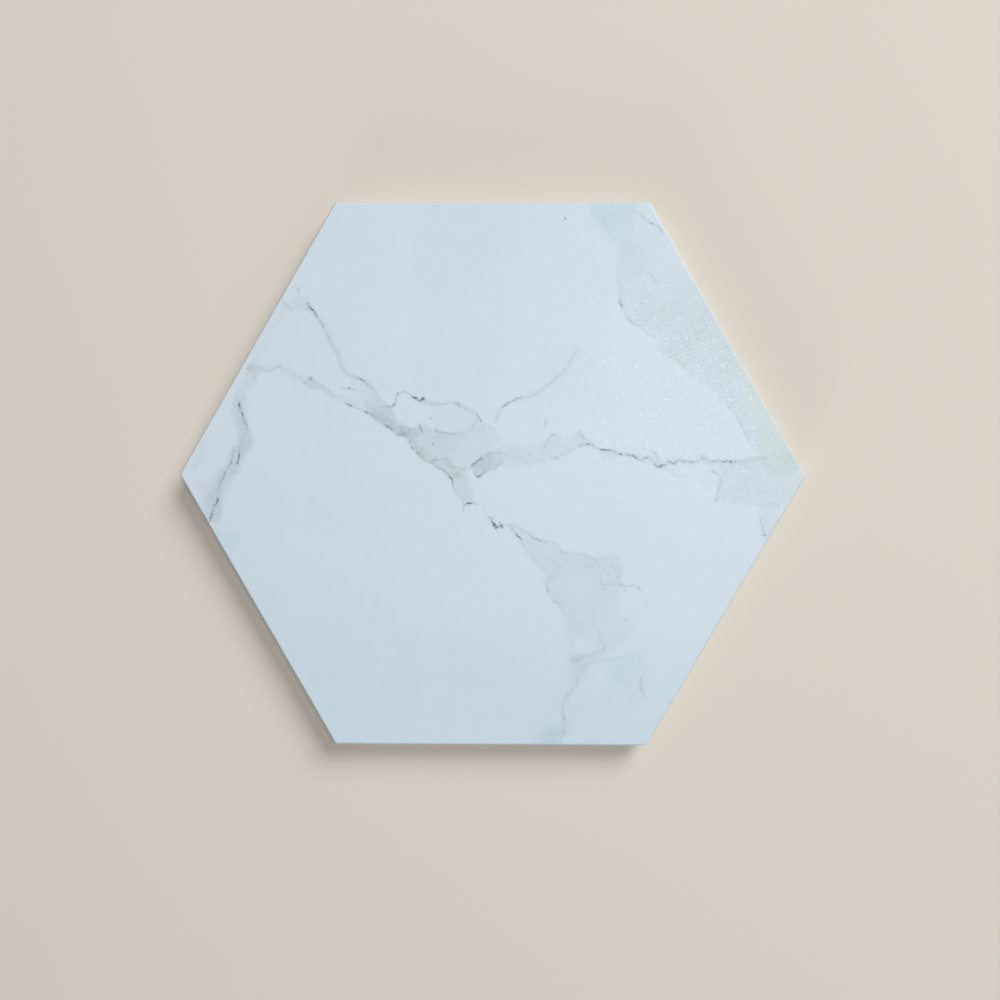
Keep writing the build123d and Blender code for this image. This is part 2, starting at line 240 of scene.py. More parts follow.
GREY_PRINT_AND_PAINTED_SHADE = [
    Patch("upper left haze", 1.6,
          [(-77.8, 65.6), (-75.0, 63.6), (-72.0, 65.2), (-69.0, 64.6), (-66.6, 62.4)],
          [(-77.4, 62.8), (-74.5, 60.0), (-71.5, 60.4), (-69.0, 60.3), (-66.6, 60.6)],
          [0.3, 0.35, 0.5, 0.45]),
    Patch("left branch smudge", 1.3,
          [(-74.0, 37.6), (-69.5, 36.2), (-67.0, 36.2), (-64.5, 35.2), (-62.5, 33.2), (-60.0, 31.7),
           (-56.5, 29.4)],
          [(-74.0, 36.4), (-69.3, 33.2), (-67.5, 32.0), (-65.0, 31.4), (-62.0, 30.7), (-59.5, 29.4),
           (-56.5, 28.0)],
          [0.2, 0.5, 0.75, 0.6, 0.4, 0.25]),
    Patch("band head", 1.2,
          [(-48.0, 34.6), (-44.5, 32.3), (-41.5, 29.8), (-39.2, 27.0), (-37.6, 25.0), (-35.6, 21.8),
           (-33.4, 18.8), (-29.5, 17.6), (-25.4, 16.6)],
          [(-51.0, 31.4), (-48.2, 27.4), (-46.0, 24.0), (-44.3, 22.2), (-42.1, 20.2), (-39.3, 18.3),
           (-36.1, 16.2), (-33.6, 14.6), (-31.1, 13.2), (-29.6, 10.4)],
          [0.25, 0.45, 0.68, 0.72, 0.64, 0.55]),
    Patch("band middle", 1.6,
          [(-33.5, 19.0), (-30.0, 17.6), (-26.6, 18.4), (-23.6, 17.4), (-20.7, 16.6), (-17.9, 15.6),
           (-12.1, 15.6), (-8.8, 16.4), (-6.2, 19.0), (-3.4, 19.0), (0.0, 16.4), (4.0, 13.0)],
          [(-34.3, 14.7), (-31.1, 13.2), (-29.6, 10.6), (-26.4, 7.0), (-24.3, 5.2), (-20.0, 2.7),
           (-16.4, 0.6), (-12.0, -0.6), (-8.0, 2.4), (-4.3, 5.4), (-0.7, 8.0), (4.0, 8.4)],
          [0.55, 0.88, 0.74, 0.46, 0.4, 0.2]),
    Patch("band lower edge shade", 2.6,
          [(-44.0, 24.0), (-38.0, 20.4), (-33.0, 17.0), (-27.4, 11.0), (-22.0, 7.2), (-15.0, 4.0),
           (-12.0, 0.0)],
          [(-46.0, 22.4), (-39.3, 18.0), (-34.3, 14.4), (-28.2, 8.6), (-21.4, 3.6), (-16.4, 0.4),
           (-14.6, -2.6)],
          [0.25, 0.5, 0.5, 0.55, 0.5, 0.4]),
    Patch("band tail", 1.0,
          [(-16.8, 1.4), (-15.4, -0.9), (-14.5, -2.4), (-14.2, -4.1), (-13.2, -5.9), (-11.4, -8.4),
           (-10.4, -10.6)],
          [(-9.2, 2.4), (-7.4, -1.4), (-7.9, -5.1), (-7.4, -7.6), (-7.1, -9.4), (-7.0, -10.6)],
          [0.55, 0.6, 0.5, 0.55, 0.6]),
    Patch("pocket haze", 2.4,
          [(-23.0, 26.0), (-17.1, 26.0), (-12.5, 25.6), (-6.4, 22.8), (-3.8, 20.0)],
          [(-23.0, 24.0), (-20.0, 18.0), (-15.0, 15.6), (-9.3, 16.4), (-5.0, 19.0)],
          [0.15, 0.2, 0.22, 0.3]),
    Patch("lens ground", 0.8,
          [(-7.8, 3.2), (-6.1, 4.2), (-4.3, 5.8), (-2.5, 7.2), (-0.7, 8.2), (1.1, 8.5), (4.4, 8.0)],
          [(-7.4, 1.8), (-5.8, -0.2), (-4.3, -0.4), (-3.2, 0.6), (-1.8, 1.4), (1.4, 2.2), (4.4, 4.6)],
          [0.8, 0.9, 0.85, 0.7, 0.5]),
    Patch("right haze", 3.0,
          [(2.0, 12.0), (6.0, 11.0), (12.0, 10.6), (18.0, 11.2), (20.6, 13.6), (23.5, 15.2),
           (26.4, 12.8), (30.0, 14.4), (33.0, 15.8), (35.6, 13.0), (39.0, 10.6)],
          [(2.0, 2.6), (8.0, 3.6), (13.2, 3.8), (18.0, 4.6), (21.4, 6.2), (24.6, 6.2), (27.0, 7.7),
           (30.0, 9.2), (34.0, 10.6), (39.0, 10.0)],
          [0.3, 0.56, 0.5, 0.45, 0.5, 0.4]),
    Patch("haze under the right vein", 1.4,
          [(38.5, 10.0), (41.1, 9.2), (44.0, 8.9), (49.0, 7.8)],
          [(38.5, 9.0), (41.0, 6.8), (45.0, 6.2), (49.0, 7.0)],
          [0.3, 0.42, 0.28]),
    Patch("haze along the right vein", 1.6,
          [(50.0, 8.6), (58.0, 7.6), (66.0, 6.4), (77.5, 8.0), (80.0, 6.8), (90.0, 6.4), (101.0, 7.4)],
          [(50.0, 6.6), (58.0, 4.8), (62.0, 2.4), (70.0, 4.0), (80.0, 4.2), (90.0, 4.4), (101.0, 5.6)],
          [0.3, 0.35, 0.3, 0.4, 0.35, 0.3]),
    Patch("upper right bank", 1.9,
          [(34.8, 101.5), (35.9, 98.4), (36.8, 95.7), (38.9, 92.1), (42.1, 87.5), (44.8, 84.3),
           (45.2, 79.3), (45.0, 73.6), (46.2, 68.6), (47.1, 63.4), (48.2, 60.0), (49.6, 57.9),
           (52.3, 55.6), (55.0, 53.6), (58.6, 50.7), (60.7, 47.5), (63.9, 43.6), (67.9, 40.7),
           (71.4, 37.1), (77.9, 33.0), (82.0, 29.4), (86.0, 26.4), (90.0, 21.6), (94.6, 12.6),
           (98.0, 7.2)],
          [(80.0, 125.0), (150.0, 10.0)],
          [0.24, 0.3, 0.28, 0.42, 0.6, 0.64, 0.54, 0.46, 0.42, 0.44, 0.2]),
    Patch("right tip patch", 2.0,
          [(80.6, 2.6), (84.0, 5.2), (92.0, 5.6), (98.0, 6.4), (103.0, 8.0), (118.0, 9.0)],
          [(80.6, 1.4), (82.6, 0.4), (83.4, -8.8), (85.0, -9.6), (90.0, -10.7), (95.7, -11.1),
           (99.3, -10.7), (104.0, -12.0), (118.0, -12.0)],
          [0.15, 0.46, 0.44, 0.4, 0.26, 0.12]),
    Patch("right corner haze", 1.2,
          [(98.4, -10.0), (98.6, -16.1), (99.4, -18.0), (99.8, -20.0), (100.4, -24.0)],
          [(107.0, -10.0), (105.5, -17.0), (103.0, -24.0)],
          [0.3, 0.4, 0.4]),
    Patch("lower cloud", 3.6,
          [(5.8, -17.8), (8.2, -20.4), (10.0, -22.6), (11.4, -25.4), (13.2, -27.9), (15.0, -30.4),
           (16.4, -32.1), (18.6, -34.3), (19.9, -35.9), (20.4, -41.4), (22.5, -45.7), (25.0, -48.0),
           (26.8, -53.0), (28.4, -57.9), (28.6, -62.0), (28.9, -67.0)],
          [(6.8, -17.2), (10.7, -19.2), (13.6, -20.4), (15.6, -22.8), (18.9, -23.8), (24.6, -25.2),
           (26.9, -28.2), (33.6, -28.5), (37.9, -30.5), (41.0, -29.4), (45.0, -28.8), (48.6, -33.0),
           (48.5, -40.0), (47.2, -43.6), (46.8, -48.0), (48.6, -51.0), (51.4, -53.0), (51.6, -59.3),
           (54.0, -63.0), (57.0, -66.8)],
          [0.3, 0.4, 0.44, 0.52, 0.5, 0.48, 0.44, 0.32, 0.3]),
    Patch("light island", 1.8,
          [(29.0, -63.6), (31.5, -60.8), (35.0, -60.2), (38.5, -60.6), (40.6, -63.0)],
          [(29.0, -64.8), (31.5, -66.0), (35.0, -65.4), (38.5, -64.8), (40.6, -63.6)],
          [-0.3, -0.3, -0.28]),
    Patch("island foot shade", 1.4,
          [(28.8, -67.2), (33.0, -66.2), (38.6, -65.2), (42.4, -64.4)],
          [(28.8, -69.6), (33.0, -69.2), (38.6, -68.2), (42.4, -67.4)],
          [0.16, 0.18, 0.12]),
    Patch("left leg ground", 4.0,
          [(28.6, -68.0), (28.0, -72.0), (26.2, -74.0), (23.4, -78.8), (21.6, -83.6), (20.9, -88.0),
           (20.8, -93.6), (19.0, -97.1), (18.0, -101.0)],
          [(37.4, -68.6), (33.8, -71.8), (32.4, -75.0), (31.6, -78.0), (29.8, -80.2), (27.0, -83.6),
           (26.4, -86.4), (27.0, -90.0), (27.6, -94.3), (26.4, -98.0), (26.0, -101.0)],
          [0.22, 0.1, 0.04, 0.04, 0.1, 0.2]),
    Patch("right leg ground", 4.0,
          [(42.0, -67.0), (44.0, -74.0), (50.0, -81.0)],
          [(57.0, -66.0), (57.2, -76.0), (58.0, -82.0)],
          [0.12, 0.16, 0.1]),
    # Painted shade: a broad soft darkening over the upper middle of the face, set to the light level
    # there.
    Patch("painted shade over the upper middle", 30.0,
          [(-30.0, 120.0), (45.0, 120.0)],
          [(-30.0, 30.0), (45.0, 30.0)],
          [0.12, 0.17, 0.12]),
    Patch("bottom edge haze", 3.0,
          [(9.0, -98.4), (14.0, -96.0), (19.3, -93.6), (24.0, -93.0), (27.4, -94.6)],
          [(9.0, -103.0), (18.0, -103.0), (27.4, -103.0)],
          [0.2, 0.3, 0.35, 0.28]),
    Patch("left edge band", 3.0,
          [(-89.2, 40.0), (-92.0, 34.6), (-93.6, 31.4), (-95.0, 27.9), (-95.8, 23.6), (-95.0, 19.3),
           (-94.0, 15.0), (-94.4, 11.4), (-95.8, 8.6), (-98.2, 4.3), (-100.8, 0.7), (-103.2, -2.9),
           (-105.0, -7.1), (-105.6, -11.4), (-107.0, -17.4)],
          [(-85.8, 39.0), (-88.2, 34.0), (-90.0, 31.0), (-90.8, 27.0), (-90.8, 23.0), (-89.8, 19.0),
           (-88.6, 15.0), (-88.6, 11.0), (-90.4, 7.4), (-92.6, 3.5), (-95.2, 0.0), (-97.2, -3.0),
           (-98.6, -7.0), (-99.2, -11.0), (-101.6, -17.4)],
          [0.4, 0.5, 0.6, 0.8, 1.0, 0.8, 0.7, 0.75, 0.8]),
]

# Cool tints of the print, and two broad patches of painted light: a painted shade towards the bottom and
# a painted cool cast at the top.
COOL_PRINT_AND_PAINTED_LIGHT = [
    Patch("lens tint", 0.8,
          [(-7.8, 3.2), (-4.3, 5.8), (-0.7, 8.2), (3.0, 8.4)],
          [(-7.4, 1.8), (-4.3, -0.4), (-1.8, 1.4), (3.0, 3.4)],
          [0.7, 0.7, 0.5]),
    Patch("band head cell", 0.9,
          [(-45.0, 27.0), (-42.6, 26.4), (-40.0, 25.6), (-37.4, 25.0), (-36.8, 22.4)],
          [(-45.0, 23.4), (-43.0, 21.0), (-39.6, 19.0), (-38.0, 19.6), (-36.8, 21.6)],
          [0.6, 0.8, 0.7]),
    Patch("band second cell", 0.8,
          [(-37.4, 19.4), (-34.6, 19.0), (-32.4, 17.0), (-30.0, 14.8)],
          [(-37.4, 17.2), (-34.6, 14.8), (-32.4, 14.4), (-30.0, 13.2)],
          [0.7, 0.9, 0.5]),
    Patch("left branch tint", 1.2,
          [(-69.5, 36.0), (-64.5, 35.0), (-60.0, 31.8)],
          [(-69.5, 33.2), (-65.0, 31.4), (-60.0, 29.6)],
          [0.3, 0.5, 0.3]),
    Patch("left band tint", 3.0,
          [(-90.0, 38.0), (-95.0, 28.0), (-95.6, 21.0), (-94.6, 12.0), (-99.0, 4.0), (-107.0, -4.0),
           (-110.0, -18.0)],
          [(-86.0, 37.0), (-89.8, 27.0), (-89.6, 20.0), (-87.6, 12.0), (-91.6, 4.0), (-96.6, -4.0),
           (-100.6, -18.0)],
          [0.4, 0.55, 0.4, 0.6, 0.6, 0.5]),
    Patch("left leg tint", 4.0,
          [(28.6, -66.0), (26.2, -74.0), (21.6, -83.6), (20.8, -93.6), (18.0, -101.0)],
          [(40.0, -66.6), (33.8, -71.8), (31.6, -78.0), (27.0, -83.6), (27.0, -90.0), (26.0, -101.0)],
          [0.2, 0.22, 0.24, 0.24, 0.22]),
    Patch("right leg tint", 5.5,
          [(40.6, -66.0), (42.9, -71.4), (43.9, -75.0), (45.7, -77.9), (49.3, -80.7), (55.4, -84.4)],
          [(57.0, -64.4), (57.0, -70.0), (57.2, -76.0), (58.0, -81.0), (58.6, -83.4)],
          [0.34, 0.44, 0.38, 0.24]),
    Patch("lower left smudge", 2.0,
          [(-104.0, -18.6), (-100.3, -19.8), (-96.0, -20.4), (-93.0, -21.4), (-90.0, -22.4)],
          [(-104.0, -25.0), (-99.5, -27.0), (-96.4, -29.0), (-94.6, -27.6), (-92.4, -24.8),
           (-90.0, -22.8)],
          [0.55, 0.65, 0.65, 0.5]),
    # Painted shade: the face is made cooler and darker towards the bottom edge, where less light falls.
    Patch("painted shade towards the bottom", 40.0,
          [(-140.0, -34.0), (140.0, -76.0)],
          [(-140.0, -160.0), (140.0, -160.0)],
          [0.6, 0.6, 0.55]),
    # Painted light: a cool cast over the top of the face, standing in for the colour of the light
    # falling there.
    Patch("painted cool cast at the top", 30.0,
          [(-100.0, 150.0), (60.0, 150.0)],
          [(-100.0, 84.0), (60.0, 66.0)],
          [0.3, 0.35, 0.3]),
    Patch("top bank tint", 6.0,
          [(35.9, 102.0), (36.8, 95.7), (42.1, 87.5), (44.8, 84.3), (45.2, 79.3), (45.0, 72.0)],
          [(54.0, 102.0), (52.0, 92.0), (51.0, 86.0), (56.0, 80.0), (57.0, 74.0), (54.0, 69.0)],
          [0.6, 0.65, 0.6, 0.6, 0.4]),
]

WARM_PATCHES = [
    Patch("right edge tint", 5.0,
          [(73.0, 72.0), (78.0, 62.0), (85.0, 48.0), (90.6, 36.0), (95.0, 24.0), (97.5, 18.0),
           (99.0, 12.0), (102.6, 7.0), (105.4, 3.0), (107.0, -2.0), (108.6, -7.0)],
          [(82.0, 78.0), (100.0, 46.0), (112.0, 24.0), (122.0, 4.0), (118.0, -10.0)],
          [0.5, 0.7, 0.7, 0.9, 1.0, 0.95, 0.6]),
]


def colour(name, description, default):
    """A colour that a user can change, as linear light."""
    return bpy.props.FloatVectorProperty(
        name=name, description=description, default=default, subtype="COLOR", size=4, min=0.0, max=1.0)


def length(name, description, default):
    """A length that a user can change, in metres."""
    return bpy.props.FloatProperty(
        name=name, description=description, default=default, min=0.0, precision=5,
        subtype="DISTANCE", unit="LENGTH")


def power(name, description, default):
    """Power of a lamp that a user can change, in watts."""
    return bpy.props.FloatProperty(
        name=name, description=description, default=default, min=0.0, unit="POWER")


def factor(name, description, default):
    """A share from 0 to 1 that a user can change."""
    return bpy.props.FloatProperty(
        name=name, description=description, default=default, subtype="FACTOR", min=0.0, max=1.0)


class TileFinish(bpy.types.PropertyGroup):
    field_colour: colour("Field", "Cool white ground of the printed face", (0.571, 0.661, 0.733, 1.0))
    line_colour: colour("Veins", "Darkest grey of the hairline veins", (0.103, 0.143, 0.176, 1.0))
    haze_depth: factor("Haze depth", "How much of the light the soft grey patches take", 0.15)
    body_colour: colour("Body", "Bare fired body of the back and lower edge", (0.560, 0.530, 0.475, 1.0))
    wash_colour: colour("Kiln wash", "Pale wash on the ribs of the back", (0.760, 0.745, 0.710, 1.0))
    # Darker than the field: partly thin glaze over the body, partly painted shade that keeps the arris
    # from catching as much of the lamps' light.
    rim_glaze_and_shade_colour: colour("Rim", "Thin glaze on the arris, over the body", (0.455, 0.525, 0.575, 1.0))
    glaze_roughness: factor("Glaze roughness", "Satin of the glazed face", 0.50)
    body_roughness: factor("Body roughness", "Dry surface of the bare body", 0.86)
    glaze_line: length("Glaze line", "Height above the back where the glaze ends", 0.72 * thickness)
    bright_roughness: factor("Bright grain roughness", "Gloss of the bright grains in the glaze", 0.25)
    # Partly painted glints: the bright grains are made paler in the colour, standing in for sparkle, as
    # well as being pale grains in the glaze.
    pale_grains_and_painted_glints: factor("Pale grains", "How much paler the bright grains are", 0.06)
    grain_size: length("Glaze grain", "Size of the fine grain in the glaze", 0.60 * MM)
    grain_depth: length("Glaze grain depth", "Depth of the fine grain in the glaze", 0.024 * MM)


class StageSetup(bpy.types.PropertyGroup):
    floor_colour: colour("Floor", "Plain pale floor", (0.660, 0.610, 0.545, 1.0))
    backdrop_colour: colour("Backdrop", "Plain pale ground behind the floor", (0.740, 0.710, 0.660, 1.0))
    sky_level: bpy.props.FloatProperty(
        name="Sky", description="Even light from all round", default=0.13, min=0.0)
    overhead_power: power("Overhead lamp", "Power of the small soft lamp overhead", 4.6)
    overhead_size: length("Overhead size", "Width of the small soft lamp", 0.35)
    window_power: power("Window lamp", "Power of the wide lamp to the upper right", 240.0)
    window_size: length("Window size", "Width of the wide lamp", 3.0)
    rim_power: power("Rim lamp", "Power of the low lamp that picks out the near edges", 74.0)
    rim_size: length("Rim size", "Width of the low lamp", 1.5)
    lens: bpy.props.FloatProperty(
        name="Lens", description="Focal length on a 36 mm sensor", default=30.2, min=1.0, unit="CAMERA")


def fill(tree, node, inputs):
    """Sets each named or numbered input of a node to a value, or links it to a socket."""
    for key, value in inputs.items():
        if isinstance(value, bpy.types.NodeSocket):
            tree.links.new(value, node.inputs[key])
        else:
            node.inputs[key].default_value = value
    return node


def put(tree, kind, inputs, **settings):
    """One node, with its settings made and its inputs filled."""
    node = tree.nodes.new(kind)
    for name, value in settings.items():
        setattr(node, name, value)
    return fill(tree, node, inputs)


def grouped(tree, group, inputs):
    """Outputs of a node group placed in the tree with its inputs filled."""
    node = tree.nodes.new("ShaderNodeGroup")
    node.node_tree = group
    return fill(tree, node, inputs).outputs


def maths(tree, operation, *values, clamp=False):
    """Result of one Math node."""
    inputs = dict(enumerate(values))
    return put(tree, "ShaderNodeMath", inputs, operation=operation, use_clamp=clamp).outputs[0]


def vectors(tree, operation, *values):
    """Vector result of one Vector Math node."""
    inputs = dict(enumerate(values))
    return put(tree, "ShaderNodeVectorMath", inputs, operation=operation).outputs["Vector"]


def blend(tree, share, first, second):
    """Colour between two others."""
    return put(tree, "ShaderNodeMix", {0: share, 6: first, 7: second}, data_type="RGBA").outputs[2]


def spread(tree, value, low, high, to_low=0.0, to_high=1.0, smooth=False):
    """A value brought from one range to another, and held inside it."""
    kind = "SMOOTHSTEP" if smooth else "LINEAR"
    inputs = {"Value": value, "From Min": low, "From Max": high, "To Min": to_low, "To Max": to_high}
    return put(tree, "ShaderNodeMapRange", inputs, interpolation_type=kind).outputs["Result"]


# Most of a noise lies between these two strengths
NOISE_LOW = 0.3
NOISE_HIGH = 0.7


def noise(tree, place, feature, detail=2.0, rough=0.5, dimensions="3D"):
    """Noise node whose features are about this many millimetres wide."""
    inputs = {"Vector": place, "Scale": 1.0 / feature, "Detail": detail, "Roughness": rough}
    return put(tree, "ShaderNodeTexNoise", inputs, noise_dimensions=dimensions)


def mottle(tree, place, feature, low, high, detail=2.0, rough=0.5):
    """Flat noise over the printed face, from a low to a high strength."""
    strength = noise(tree, place, feature, detail, rough, "2D").outputs["Fac"]
    return spread(tree, strength, NOISE_LOW, NOISE_HIGH, low, high)


def new_group(name, inputs, outputs):
    """Empty shader node group with named sockets, and its two end nodes."""
    group = bpy.data.node_groups.new(name, "ShaderNodeTree")
    for socket, kind in inputs:
        group.interface.new_socket(name=socket, in_out="INPUT", socket_type="NodeSocket" + kind)
    for socket, kind in outputs:
        group.interface.new_socket(name=socket, in_out="OUTPUT", socket_type="NodeSocket" + kind)
    return group, group.nodes.new("NodeGroupInput").outputs, group.nodes.new("NodeGroupOutput").inputs


def floats(*names):
    """Number sockets for a node group."""
    return [(name, "Float") for name in names]


def vein_section_group():
    """Ink across a vein: full on its route and none at its width to either side."""
    inputs = floats("Aside", "Route", "Width", "Ink")
    group, given, result = new_group("Vein section", inputs, floats("Ink"))
    away = maths(group, "ABSOLUTE", maths(group, "SUBTRACT", given["Aside"], given["Route"]))
    group.links.new(spread(group, away, 0.0, given["Width"], given["Ink"], 0.0), result["Ink"])
    return group


def patch_section_group():
    """Ink across a patch: full between its two edges, fading over the soft width at each."""
    inputs = floats("Aside", "Middle", "Half width", "Soft", "Ink")
    group, given, result = new_group("Patch section", inputs, floats("Ink"))
    away = maths(group, "ABSOLUTE", maths(group, "SUBTRACT", given["Aside"], given["Middle"]))
    past = maths(group, "SUBTRACT", away, given["Half width"])
    inside = maths(group, "MULTIPLY", given["Soft"], -1.0)
    ink = spread(group, past, inside, given["Soft"], given["Ink"], 0.0, smooth=True)
    group.links.new(ink, result["Ink"])
    return group


def speck_group():
    """Ink of a round speck."""
    inputs = [("Place", "Vector"), ("Middle", "Vector"), *floats("Size", "Ink")]
    group, given, result = new_group("Speck", inputs, floats("Ink"))
    ends = {0: given["Place"], 1: given["Middle"]}
    away = put(group, "ShaderNodeVectorMath", ends, operation="DISTANCE").outputs["Value"]
    group.links.new(spread(group, away, 0.0, given["Size"], given["Ink"], 0.0), result["Ink"])
    return group


# Sizes of the coarse relief and of the cells that hold bright grains, in sizes of the fine grain
COARSE_GRAIN = 5.0
COARSE_SHARE = 1.8
GRAIN_CELL = 1.0 / 0.62


def grain_group():
    """Fine fired grain as a height, and the few bright grains in it, of which there can be more."""
    inputs = [("Place", "Vector"), *floats("Size", "More")]
    group, given, result = new_group("Fired grain", inputs, floats("Height", "Bright grains"))
    scaled = vectors(group, "DIVIDE", given["Place"], given["Size"])
    fine = noise(group, scaled, 1.0, 1.0).outputs["Fac"]
    coarse = noise(group, scaled, COARSE_GRAIN, 0.0).outputs["Fac"]
    group.links.new(maths(group, "MULTIPLY_ADD", coarse, COARSE_SHARE, fine), result["Height"])
    spacing = {"Vector": scaled, "Scale": 1.0 / GRAIN_CELL}
    cells = put(group, "ShaderNodeTexVoronoi", spacing, voronoi_dimensions="2D").outputs
    chosen = spread(group, maths(group, "ADD", cells["Color"], given["More"]), 0.55, 0.95)
    round_grain = spread(group, cells["Distance"], 0.5, 0.1)
    group.links.new(maths(group, "MULTIPLY", chosen, round_grain), result["Bright grains"])
    return group


def chord_of(start, end):
    """Length of the straight line between two points, and the directions along it and across it."""
    chord = end - start
    along = chord.normalized()
    return chord.length, along, Vector((-along.y, along.x))


def shares(points, start, size, along, across):
    """Each point as its share of the chord, and its offset from the chord in chord lengths."""
    steps = [Vector(point[:2]) - start for point in points]
    return [(step.dot(along) / size, step.dot(across) / size) for step in steps]


def level(tree, place, start, way):
    """How far a place on the face reaches from the start, along a level direction."""
    inputs = {0: place, 1: (way.x, way.y, -way.dot(start))}
    return put(tree, "ShaderNodeVectorMath", inputs, operation="DOT_PRODUCT").outputs["Value"]


def curve(tree, value, spots, label):
    """A value read off a smooth curve through the spots."""
    node = put(tree, "ShaderNodeFloatCurve", {"Factor": 1.0, "Value": value}, label=label)
    points = node.mapping.curves[0].points
    while len(points) < len(spots):
        points.new(0.0, 0.0)
    for point, spot in zip(points, spots):
        point.location = spot
        point.handle_type = "AUTO_CLAMPED"
    node.mapping.extend = "HORIZONTAL"
    node.mapping.update()
    return node.outputs[0]


def tapered(vein):
    """The vein's points with one more past each end, where its ink has run out."""
    ends = []
    for tip, inner in ((vein.points[0], vein.points[1]), (vein.points[-1], vein.points[-2])):
        tip_place, inner_place = Vector(tip[:2]), Vector(inner[:2])
        end = tip_place + (tip_place - inner_place).normalized() * vein.taper
        ends.append((end.x, end.y, 0.0))
    return [ends[0], *vein.points, ends[1]]


def vein_ink(tree, place, section, vein):
    """Ink of one vein. Its route and its ink are curves over the chord between its ends."""
    points = tapered(vein)
    start = Vector(points[0][:2])
    size, along, across = chord_of(start, Vector(points[-1][:2]))
    route = shares(points, start, size, along, across)
    inks = [(share, point[2]) for (share, offset), point in zip(route, points)]
    reach = level(tree, place, start, along / size)
    return grouped(tree, section, {
        "Aside": level(tree, place, start, across / size),
        "Route": curve(tree, reach, route, vein.name),
        "Width": vein.width / size,
        "Ink": curve(tree, reach, inks, vein.name)})["Ink"]


def offset_at(edge, share):
    """Offset of an edge at a share of the chord, on the straight pieces between its points."""
    if share <= edge[0][0]:
        return edge[0][1]
    for (low, first), (high, second) in zip(edge, edge[1:]):
        if share <= high:
            return first + (second - first) * (share - low) / max(high - low, 1e-9)
    return edge[-1][1]


def patch_ink(tree, place, section, patch):
    """Ink of one patch. Its middle, half width and ink are curves over the chord between its ends."""
    start = (Vector(patch.one_edge[0]) + Vector(patch.other_edge[0])) / 2
    end = (Vector(patch.one_edge[-1]) + Vector(patch.other_edge[-1])) / 2
    size, along, across = chord_of(start, end)
    one = shares(patch.one_edge, start, size, along, across)
    other = shares(patch.other_edge, start, size, along, across)
    stops = sorted({min(max(share, 0.0), 1.0) for share, offset in one + other})
    pairs = [(stop, offset_at(one, stop), offset_at(other, stop)) for stop in stops]
    middle = [(stop, (first + second) / 2) for stop, first, second in pairs]
    half = [(stop, abs(first - second) / 2) for stop, first, second in pairs]
    fade = min(0.06, 0.5 * patch.soft / size)
    last = len(patch.inks) - 1
    inks = [(fade + (1.0 - 2 * fade) * step / last, ink) for step, ink in enumerate(patch.inks)]
    reach = level(tree, place, start, along / size)
    return grouped(tree, section, {
        "Aside": level(tree, place, start, across / size),
        "Middle": curve(tree, reach, middle, patch.name),
        "Half width": curve(tree, reach, half, patch.name),
        "Soft": patch.soft / 2 / size,
        "Ink": curve(tree, reach, [(0.0, 0.0), *inks, (1.0, 0.0)], patch.name)})["Ink"]


def speck_ink(tree, place, section, mark):
    """Ink of one speck."""
    inputs = {"Place": place, "Middle": (mark.x, mark.y, 1.0), "Size": mark.size, "Ink": mark.ink}
    return grouped(tree, section, inputs)["Ink"]


def layered(tree, place, section, make, marks, operation, total=None):
    """Ink of many marks together, on top of what is there already."""
    for mark in marks:
        ink = make(tree, place, section, mark)
        total = ink if total is None else maths(tree, operation, total, ink)
    return total


def drift(tree, place, waves):
    """Places moved about by noise, each wave given as its feature size and its reach in millimetres."""
    moved = place
    for feature, reach in waves:
        push = noise(tree, place, feature, 1.0, dimensions="2D").outputs["Color"]
        push = vectors(tree, "SUBTRACT", push, (0.5, 0.5, 0.5))
        moved = vectors(tree, "MULTIPLY_ADD", push, (2.0 * reach, 2.0 * reach, 0.0), moved)
    return moved


# How the print wanders, as sizes and reaches in millimetres, and the sizes of its mottling
LINE_DRIFT = ((4.0, 0.6), (0.9, 0.42))
PATCH_DRIFT = ((7.0, 1.3), (1.6, 0.6))
BREAK_SIZE = 1.8
STIPPLE_SIZE = 1.3
CLOUD_SIZE = 9.0
GROUND_SIZE = 40.0
GROUND_SWING = 0.01
# Darkness of a faint line, and what the tints take of red, green and blue
FAINT_LINE = 0.34
COOL_TAKES = (0.10, 0.04, 0.025)
WARM_TAKES = (0.015, 0.01, 0.085)


